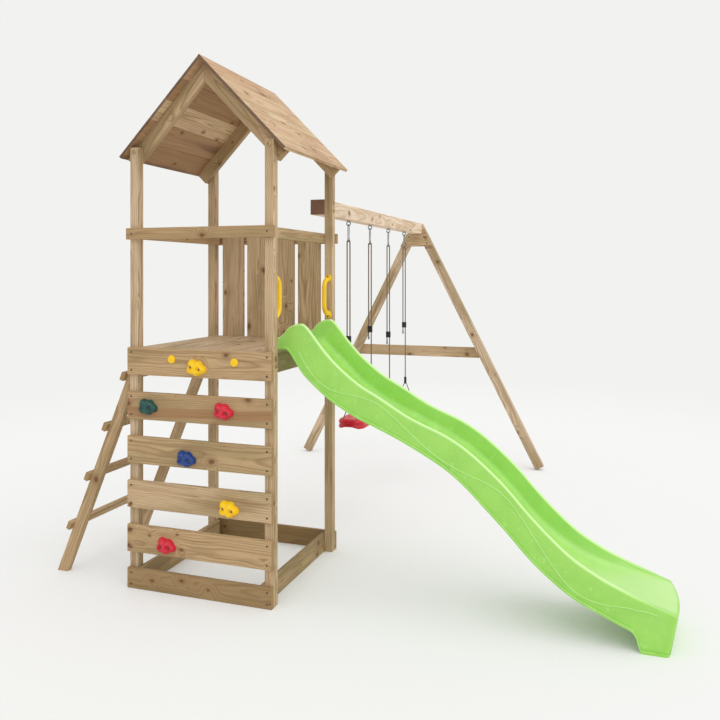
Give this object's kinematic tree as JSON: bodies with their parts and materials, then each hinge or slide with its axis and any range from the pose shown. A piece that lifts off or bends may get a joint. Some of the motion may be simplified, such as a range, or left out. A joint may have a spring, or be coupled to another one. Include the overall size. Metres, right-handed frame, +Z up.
{
  "type": "wooden climbing frame",
  "caption": "Wooden play tower with a gabled plank roof, a climbing wall with stones, a ladder, a moulded wave slide and a swing beam on an A-frame with roped seats.",
  "frame": {"origin": "on the ground, at the middle of the whole frame's footprint box", "axes": "+X from the ladder to the slide along the climbing wall, +Y from the climbing wall back along the swing beam, +Z up"},
  "size_m": [3.1418, 3.2559, 2.7111],
  "materials": {
    "timber": "planed pressure-treated pine",
    "roof_timber": "planed pressure-treated pine, sun side",
    "lime_plastic": "blow-moulded polyethylene",
    "yellow_plastic": "moulded polypropylene",
    "red_plastic": "moulded polyethylene",
    "green_plastic": "moulded polyester resin",
    "blue_plastic": "moulded polyester resin",
    "galvanized_steel": "zinc-coated steel",
    "black_plastic": "moulded nylon",
    "rope": "braided polypropylene rope"
  },
  "bodies": {
    "frame": {"post_front_left": "timber", "post_front_right": "timber", "post_back_left": "timber", "post_back_right": "timber", "climbing_board_1": "timber", "climbing_board_2": "timber", "climbing_board_3": "timber", "climbing_board_4": "timber", "climbing_board_5": "timber", "sandpit_board_front": "timber", "sandpit_board_back": "timber", "sandpit_boards_side": "timber", "guard_rail_front": "timber", "guard_rail_back": "timber", "guard_rails_side": "timber", "back_panel_boards": "timber", "back_panel_rail": "timber", "platform_bearers": "timber", "platform_joists": "timber", "platform_planks": "timber", "rafters": "timber", "roof_planks_left": "roof_timber", "roof_planks_right": "roof_timber", "ladder_stringers": "timber", "ladder_rungs": "timber", "slide": "lime_plastic", "grab_handles": "yellow_plastic", "stones_yellow": "yellow_plastic", "stones_red": "red_plastic", "stone_green": "green_plastic", "stone_blue": "blue_plastic", "cover_caps": "yellow_plastic", "swing_beam": "timber", "leg_left": "timber", "leg_right": "timber", "leg_cross_boards": "timber", "leg_spreader": "timber", "hanging_eyes": "galvanized_steel", "board_screws": "galvanized_steel", "stone_bolts": "galvanized_steel", "frame_bolts": "galvanized_steel"},
    "swing_1": {"snap_hooks_1": "galvanized_steel", "ropes_1": "rope", "adjusters_1": "black_plastic", "crimps_1": "galvanized_steel", "ferrules_1": "black_plastic"},
    "seat_tilt_1": {"bridles_1": "rope", "seat_1": "red_plastic"},
    "swing_2": {"snap_hooks_2": "galvanized_steel", "ropes_2": "rope", "adjusters_2": "black_plastic", "crimps_2": "galvanized_steel", "ferrules_2": "black_plastic"},
    "seat_tilt_2": {"bridles_2": "rope", "seat_2": "red_plastic"},
    "gate_body_1": {"gate_1": "galvanized_steel"},
    "gate_body_2": {"gate_2": "galvanized_steel"},
    "gate_body_3": {"gate_3": "galvanized_steel"},
    "gate_body_4": {"gate_4": "galvanized_steel"}
  },
  "joints": [
    {"name": "swing_1_swings", "type": "hinge", "parent": "frame", "child": "swing_1", "pos_m": [-0.34708, 0.003, 1.9385], "axis": [0, 1, 0], "range_deg": [-60, 60]},
    {"name": "seat_1_tilts", "type": "hinge", "parent": "swing_1", "child": "seat_tilt_1", "pos_m": [-0.3373, 0.003, 0.765], "axis": [0, 1, 0], "range_deg": [-25, 25]},
    {"name": "swing_2_swings", "type": "hinge", "parent": "frame", "child": "swing_2", "pos_m": [-0.34708, 0.903, 1.9385], "axis": [0, 1, 0], "range_deg": [-60, 60]},
    {"name": "seat_2_tilts", "type": "hinge", "parent": "swing_2", "child": "seat_tilt_2", "pos_m": [-0.3373, 0.903, 0.727], "axis": [0, 1, 0], "range_deg": [-25, 25]},
    {"name": "gate_1_opens", "type": "hinge", "parent": "swing_1", "child": "gate_body_1", "pos_m": [-0.34708, -0.21, 1.8383], "axis": [1, 0, 0], "range_deg": [0, 20], "stiffness_Nm_per_rad": 0.05},
    {"name": "gate_2_opens", "type": "hinge", "parent": "swing_1", "child": "gate_body_2", "pos_m": [-0.34708, 0.24, 1.8383], "axis": [1, 0, 0], "range_deg": [0, 20], "stiffness_Nm_per_rad": 0.05},
    {"name": "gate_3_opens", "type": "hinge", "parent": "swing_2", "child": "gate_body_3", "pos_m": [-0.34708, 0.69, 1.8383], "axis": [1, 0, 0], "range_deg": [0, 20], "stiffness_Nm_per_rad": 0.05},
    {"name": "gate_4_opens", "type": "hinge", "parent": "swing_2", "child": "gate_body_4", "pos_m": [-0.34708, 1.14, 1.8383], "axis": [1, 0, 0], "range_deg": [0, 20], "stiffness_Nm_per_rad": 0.05}
  ]
}
